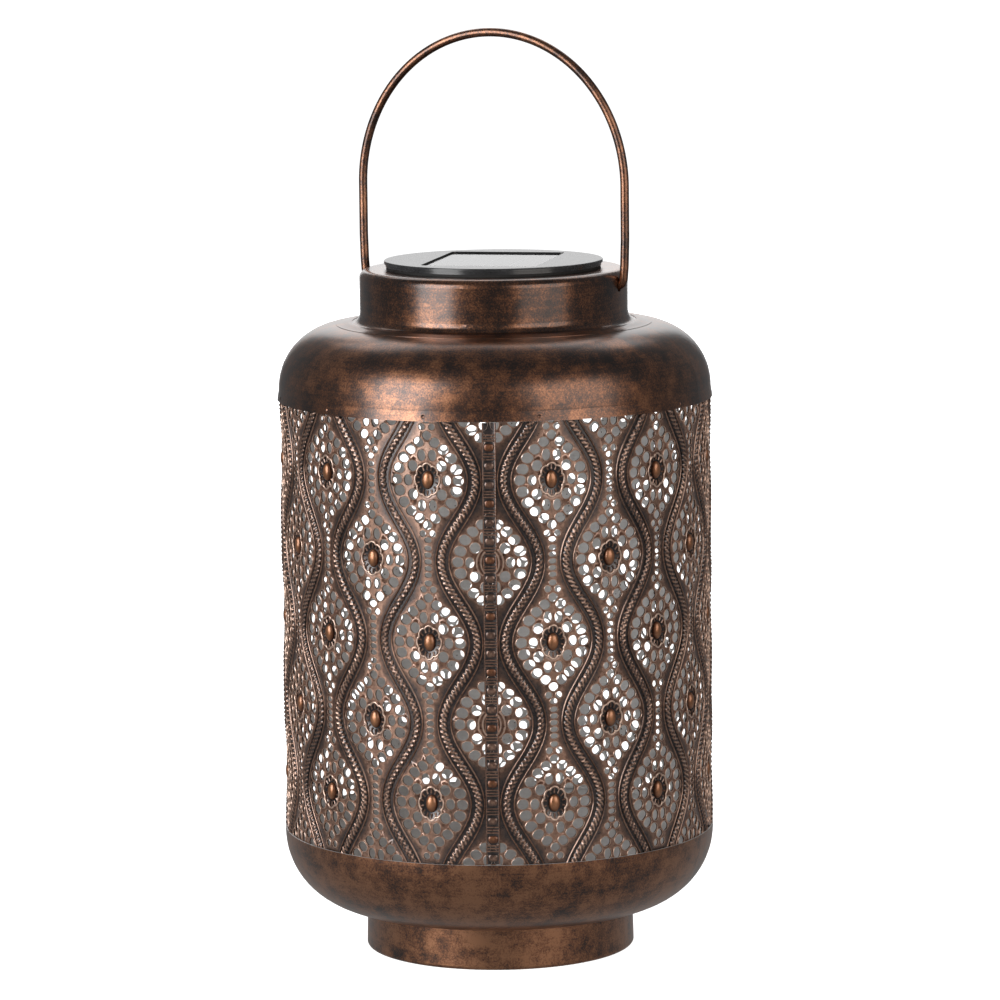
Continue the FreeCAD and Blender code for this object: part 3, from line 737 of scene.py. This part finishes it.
def plain_surface(name, dark, light, metallic=0.0, rough=(0.35, 0.5), scale=600, coat=0.0, clear=0.0,
                  ior=1.5):
    """A moulded, plated or dipped surface with fine mottling."""
    s = Shader(name)
    cloud = s.noise(scale / 8, 3, 0.6, seed=1.7)
    grain = s.noise(scale, 4, 0.65, seed=4.1)
    colour = s.ramp(s.blend([(0.5, cloud), (0.5, grain)]), [(0.36, dark), (0.64, light)])
    s.link(colour, s.surface.inputs["Base Color"])
    s.set(Metallic=metallic, Coat_Weight=coat, Coat_Roughness=0.08, Transmission_Weight=clear, IOR=ior)
    s.grained(grain, *rough)
    s.bump(grain, 0.15, 0.0001)
    return s.material


def solar_cell_material(name):
    """Dark silicon with fine silver fingers across each strip."""
    module_turn, fingers_per_metre, finger_share = math.radians(-14), 520.0, 0.09
    s = Shader(name)
    crystal = s.node("ShaderNodeTexVoronoi")
    crystal.inputs["Scale"].default_value = 260
    s.link(s.place, crystal.inputs["Vector"])
    turned = s.node("ShaderNodeVectorRotate", rotation_type="Z_AXIS")
    turned.inputs["Angle"].default_value = module_turn
    s.link(s.place, turned.inputs["Vector"])
    parts = s.node("ShaderNodeSeparateXYZ")
    s.link(turned.outputs["Vector"], parts.inputs["Vector"])
    run = s.math("FRACT", s.math("MULTIPLY", parts.outputs["Y"], fingers_per_metre))
    finger = s.math("LESS_THAN", run, finger_share)
    silicon = s.ramp(crystal.outputs["Distance"], [(0.0, (0.015, 0.018, 0.035)), (0.8, (0.035, 0.04, 0.075))])
    s.link(s.mix(finger, silicon, (0.45, 0.46, 0.48)), s.surface.inputs["Base Color"])
    s.link(finger, s.surface.inputs["Metallic"])
    s.set(Roughness=0.22)
    return s.material


def clear_material(name, colour, rough, ior):
    """Clear resin or plastic with a faint haze."""
    s = Shader(name)
    haze = s.noise(220, 3, 0.5, seed=3.3)
    s.link(s.ramp(haze, [(0.3, colour), (0.7, tuple(min(1.0, c * 1.04) for c in colour))]),
           s.surface.inputs["Base Color"])
    s.grained(haze, rough, rough + 0.03)
    s.set(IOR=ior, Transmission_Weight=1.0)
    s.bump(haze, 0.04, 0.0002)
    return s.material


# Other pieces -------------------------------------------------------------------------------------
def frame_joint(name):
    return next(j for j in frame["joints"] if j["name"] == name)


def fillet(points, radii, step):
    """A flat path with its inner corners rounded to arcs, a point every step degrees."""
    path = [np.array(points[0], float)]
    for before, corner, after, radius in zip(points, points[1:], points[2:], radii):
        corner = np.array(corner, float)
        back = np.array(before, float) - corner
        ahead = np.array(after, float) - corner
        back /= np.linalg.norm(back)
        ahead /= np.linalg.norm(ahead)
        half_turn = (math.pi - math.acos(np.clip(back @ ahead, -1, 1))) / 2
        reach = radius * math.tan(half_turn)
        centre = corner + (back + ahead) / np.linalg.norm(back + ahead) * radius / math.cos(half_turn)
        start, end = corner + back * reach - centre, corner + ahead * reach - centre
        low, high = math.atan2(start[1], start[0]), math.atan2(end[1], end[0])
        while high - low > math.pi:
            high -= 2 * math.pi
        while high - low < -math.pi:
            high += 2 * math.pi
        count = max(3, int(abs(math.degrees(high - low)) / step))
        for a in np.linspace(low, high, count + 1):
            path.append(centre + radius * np.array([math.cos(a), math.sin(a)]))
    path.append(np.array(points[-1], float))
    return np.array(path)


def build_bail(copper):
    """One wire: straight ends through the neck, a bend, legs, and a half-oval arch."""
    box_low, box_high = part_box("bail_wire")
    radius = (box_high.y - box_low.y) / 2 / MM
    half = box_high.x / MM - radius
    top = box_high.z / MM - radius
    pivot = frame_joint("bail_swing")["pos_m"][2] / MM
    end, arch_start, straight_start = 44.8, 303.0, 285.0
    corners = [(end, pivot), (half - 0.9, pivot), (half - 0.3, pivot + 8), (half, pivot + 18),
               (half, arch_start)]
    leg = fillet(corners, [3.0, 30.0, 60.0], 3)
    arch = [(half * math.cos(a), arch_start + (top - arch_start) * math.sin(a))
            for a in np.linspace(0, math.pi, 121)]
    right = np.array(list(leg[:-1]) + [(half, z) for z in np.linspace(straight_start, arch_start, 8)[:-1]])
    left = right[::-1] * np.array([-1, 1])
    path = np.concatenate([right, np.array(arch), left])
    closest = 0.05           # nearer points than this are one point
    keep = [0]
    for i in range(1, len(path)):
        if np.linalg.norm(path[i] - path[keep[-1]]) > closest:
            keep.append(i)
    path = path[keep]
    ahead = np.gradient(path, axis=0)
    ahead /= np.linalg.norm(ahead, axis=1)[:, None]
    square = np.stack([-ahead[:, 1], ahead[:, 0]], 1)
    sides = 24
    rows = []
    for k in range(sides):
        a = 2 * math.pi * k / sides
        flat = path + square * (radius * math.cos(a))
        rows.append(np.stack([flat[:, 0], np.full(len(flat), radius * math.sin(a)), flat[:, 1]], 1))
    points = np.stack(rows, 1).reshape(-1, 3)
    make_piece("bail", points, capped_faces(len(path), sides), [copper], "bail", ["bail_wire"])


def build_neck_fillet(copper):
    """The spray's build-up, which feathers the neck's flared foot into the shoulder. A closed ring, from
    its outline as distances out from the flare's edge and up from the shoulder's top."""
    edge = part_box("neck_collar")[1].x / MM
    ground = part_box("shoulder_shell")[1].z / MM
    outline = [(-1.2, 0.4), (-1.2, 0.86), (0.0, 0.94), (0.8, 0.82), (1.7, 0.58), (2.7, 0.34), (3.8, 0.16),
               (5.0, 0.03), (5.0, -0.3)]
    sides = 256
    turns = np.arange(sides) * 2 * math.pi / sides
    points = [((edge + out) * math.cos(a), (edge + out) * math.sin(a), ground + up)
              for a in turns for out, up in outline]
    make_piece("neck_fillet", points, grid_faces(sides, len(outline), close_rows=True), [copper], "lantern",
               sharp_angle=60)


# Paint --------------------------------------------------------------------------------------------
def bare_inside(nodes, tin):
    """The shells were sprayed from outside only, so the faces towards the lantern's middle are bare. The
    tin goes into the second material slot of shells that are painted already."""
    middle = (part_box("base_pan")[0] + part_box("shoulder_shell")[1]) / 2
    for name in nodes:
        shell = frame["nodes"][name]
        mesh = shell.data
        mesh.materials.append(tin)
        slots = np.zeros(len(mesh.polygons), np.int32)
        for face in mesh.polygons:
            if face.normal.dot(shell.matrix_world @ face.center - middle) < 0:
                slots[face.index] = 1
        mesh.polygons.foreach_set("material_index", slots)


def paint(nodes, material):
    """One material over CAD nodes, shaded smooth except across clear edges."""
    for name in nodes:
        mesh = frame["nodes"][name].data
        mesh.materials.clear()
        mesh.materials.append(material)
        mesh.polygons.foreach_set("use_smooth", np.full(len(mesh.polygons), True))
        mesh.set_sharp_from_angle(angle=math.radians(30))


def paint_copper():
    """The sprayed shells. Each gets its own rubbed pattern, and the fillet at the neck's foot the shoulder's.
    The base's copper is lighter than the rest, partly its own tone and partly painted light for the dim light
    under the pan.
    """
    # dark=-0.065 lightens the base's copper, partly as painted light for the little light that reaches the
    # pan.
    paint(["foot_ring", "base_pan"], antique_copper("antique_copper_base", 4.0, dark=-0.065, blotches=0.5))
    shoulder = antique_copper("antique_copper_shell", 0.0)
    paint(["shoulder_shell"], shoulder)
    build_neck_fillet(shoulder)
    neck = antique_copper("antique_copper_neck", 2.0, dark=0.01, blotches=0.3, rough=(0.26, 0.37), coat=0.22)
    paint(["neck_collar"], neck)
    bright = rubbed_and_highlight_copper("rubbed_and_highlight_copper", 3.0)
    tin = bare_tin("bare_tinplate")
    bare_inside(["base_pan", "shoulder_shell"], tin)
    build_filigree(worn_and_shaded_filigree("antique_copper_filigree", 1.0), tin, bright)
    build_seam(worn_and_shaded_filigree("antique_copper_strip", 6.0, dark=-0.03), bright)
    build_bail(antique_copper("antique_copper_wire", 8.0, dark=-0.01, streaks=(220, 220, 60)))


def paint_module():
    """The lamp module's moulded, plated, glass-clear and wired parts."""
    paint(["module_housing", "battery_door", "switch_knob"],
          plain_surface("black_moulding", (0.012, 0.012, 0.013), (0.03, 0.03, 0.032), rough=(0.36, 0.5),
                        scale=1500))
    paint(["module_cover"],
          plain_surface("satin_cover", (0.018, 0.018, 0.019), (0.04, 0.04, 0.042), rough=(0.15, 0.22),
                        scale=1500, ior=1.6))
    paint(["grip_ring", "seat_washer", "housing_gasket"],
          plain_surface("black_rubber", (0.008, 0.008, 0.008), (0.02, 0.02, 0.02), rough=(0.6, 0.8)))
    paint(["panel_board"],
          plain_surface("white_laminate", (0.62, 0.63, 0.62), (0.8, 0.8, 0.79), rough=(0.5, 0.7)))
    paint(["solar_cells"], solar_cell_material("silicon"))
    paint(["panel_resin"], clear_material("panel_resin", (0.93, 0.95, 0.96), 0.03, 1.62))
    paint(["housing_screws", "door_screw", "board_screws", "plus_contact", "minus_contact", "led_leads",
           "battery_can", "switch_body"],
          plain_surface("zinc_plate", (0.45, 0.45, 0.43), (0.68, 0.67, 0.64), 1.0, (0.28, 0.42), 900))
    paint(["battery_wrap"],
          plain_surface("battery_film", (0.03, 0.16, 0.08), (0.06, 0.3, 0.15), rough=(0.2, 0.3), coat=0.5))
    paint(["circuit_board"],
          plain_surface("board_laminate", (0.4, 0.27, 0.11), (0.58, 0.42, 0.2), rough=(0.45, 0.6)))
    paint(["driver_chip"],
          plain_surface("black_epoxy", (0.01, 0.01, 0.01), (0.03, 0.03, 0.03), rough=(0.4, 0.6)))
    paint(["coil_inductor"],
          plain_surface("green_epoxy", (0.08, 0.25, 0.13), (0.16, 0.42, 0.25), rough=(0.2, 0.35)))
    paint(["led_lamp"],
          plain_surface("lamp_epoxy", (0.75, 0.7, 0.4), (0.9, 0.86, 0.6), rough=(0.08, 0.15), clear=0.4))
    paint(["led_reflector"],
          plain_surface("bright_reflector", (0.75, 0.75, 0.75), (0.9, 0.9, 0.9), 1.0, (0.05, 0.12)))
    paint(["led_window"], clear_material("clear_window", (0.94, 0.96, 0.97), 0.04, 1.49))
    vinyls = {
        "red": plain_surface("red_vinyl", (0.4, 0.02, 0.015), (0.6, 0.05, 0.04), rough=(0.3, 0.45)),
        "black": plain_surface("black_vinyl", (0.01, 0.01, 0.01), (0.03, 0.03, 0.03), rough=(0.3, 0.45)),
    }
    for colour, vinyl in vinyls.items():
        paint([f"{place}_lead_{colour}" for place in ("panel", "battery", "switch")], vinyl)


# Studio, in metres --------------------------------------------------------------------------------
VIEW_TURN = 22.0             # degrees to the right of the front, where the photograph was taken from
LIT_PLACE = Vector((0.0, 0.0, 0.15))


def build_camera():
    """Stands two metres off, a little above the lid, turned so that the bail is seen at a slant."""
    turn = math.radians(VIEW_TURN)
    distance, height = 2.0, 0.4558
    pitch, yaw, roll = 0.138, 0.0008, -0.0107
    ahead = Vector((math.sin(yaw) * math.cos(pitch), math.cos(yaw) * math.cos(pitch), -math.sin(pitch)))
    right = Vector((math.cos(yaw), -math.sin(yaw), 0.0))
    up = right.cross(ahead)
    right, up = (right * math.cos(roll) + up * math.sin(roll)), (up * math.cos(roll) - right * math.sin(roll))
    about = Matrix.Rotation(turn, 3, "Z")
    right, up, back = about @ right, about @ up, about @ -ahead
    spot = about @ Vector((0.0, -distance, height))
    data = bpy.data.cameras.new("camera")
    data.sensor_width = 36.0
    data.lens = 183.7
    camera = bpy.data.objects.new("camera", data)
    camera.matrix_world = Matrix((
        (right.x, up.x, back.x, spot.x),
        (right.y, up.y, back.y, spot.y),
        (right.z, up.z, back.z, spot.z),
        (0, 0, 0, 1),
    ))
    bpy.context.scene.collection.objects.link(camera)
    bpy.context.scene.camera = camera


def soft_light(name, from_view, elevation, distance, size, power, colour=(1, 1, 1)):
    """A rectangular studio light, so many degrees round to the right of the camera."""
    data = bpy.data.lights.new(name, "AREA")
    data.shape = "RECTANGLE"
    data.size, data.size_y = size
    data.energy = power
    data.color = colour
    lamp = bpy.data.objects.new(name, data)
    a, e = math.radians(VIEW_TURN + from_view), math.radians(elevation)
    back = Vector((math.sin(a) * math.cos(e), -math.cos(a) * math.cos(e), math.sin(e)))
    lamp.location = LIT_PLACE + back * distance
    lamp.rotation_mode = "QUATERNION"
    lamp.rotation_quaternion = back.to_track_quat("Z", "Y")
    lamp.visible_camera = False
    bpy.context.scene.collection.objects.link(lamp)
    return lamp


def floor_material(name, shade, glow):
    """Matt and nearly even, with a glow of its own that keeps the background white."""
    s = Shader(name)
    haze = s.noise(3.0, 2, 0.5)
    s.link(s.ramp(haze, [(0.3, (shade,) * 3), (0.7, (shade * 1.03,) * 3)]), s.surface.inputs["Base Color"])
    s.set(Roughness=0.9, Emission_Color=(1, 1, 1, 1), Emission_Strength=glow)
    return s.material


def disc(name, radius, z, material):
    sides = 96
    points = [(radius * math.cos(2 * math.pi * i / sides), radius * math.sin(2 * math.pi * i / sides), z)
              for i in range(sides)]
    mesh = bpy.data.meshes.new(name)
    mesh.from_pydata(points, [], [tuple(range(sides))])
    mesh.materials.append(material)
    made = bpy.data.objects.new(name, mesh)
    bpy.context.scene.collection.objects.link(made)
    return made


def build_studio():
    """A white table, two tall soft lights in front, a pale wall behind with a soft light above it, and a
    fill from behind that metal doesn't mirror. Metal mirrors only the table's middle, so that its upright
    walls show the lights against a dark room."""
    floor = disc("floor", 40.0, 0.0, floor_material("pale_floor", 0.8, 1.02))
    floor.visible_glossy = False
    sheen = disc("floor_sheen", 0.34, -0.0004, floor_material("floor_middle", 0.14, 0.05))
    sheen.visible_camera = False
    sheen.visible_diffuse = False
    sheen.visible_shadow = False
    soft_light("light_left", -51, 18, 1.65, (0.98, 1.35), 20)
    soft_light("light_right", 42, 18, 1.75, (1.4, 1.35), 10, (1.0, 0.93, 0.86))
    soft_light("wall_behind", 180, 14, 2.6, (1.3, 2.0), 8)
    soft_light("light_overhead", 180, 50, 2.4, (2.2, 0.9), 8)
    back_fill = soft_light("back_fill", 180, 22, 2.6, (3.2, 2.0), 38)
    back_fill.visible_glossy = False
    world = bpy.data.worlds.new("studio")
    bpy.context.scene.world = world
    world.use_nodes = True
    background = world.node_tree.nodes["Background"]
    background.inputs["Color"].default_value = (0.62, 0.62, 0.63, 1)
    background.inputs["Strength"].default_value = 0.2
    view = bpy.context.scene.view_settings
    view.view_transform = "Standard"
    view.look = "None"
    view.exposure = 0.0


build_camera()
paint_copper()
paint_module()
build_studio()
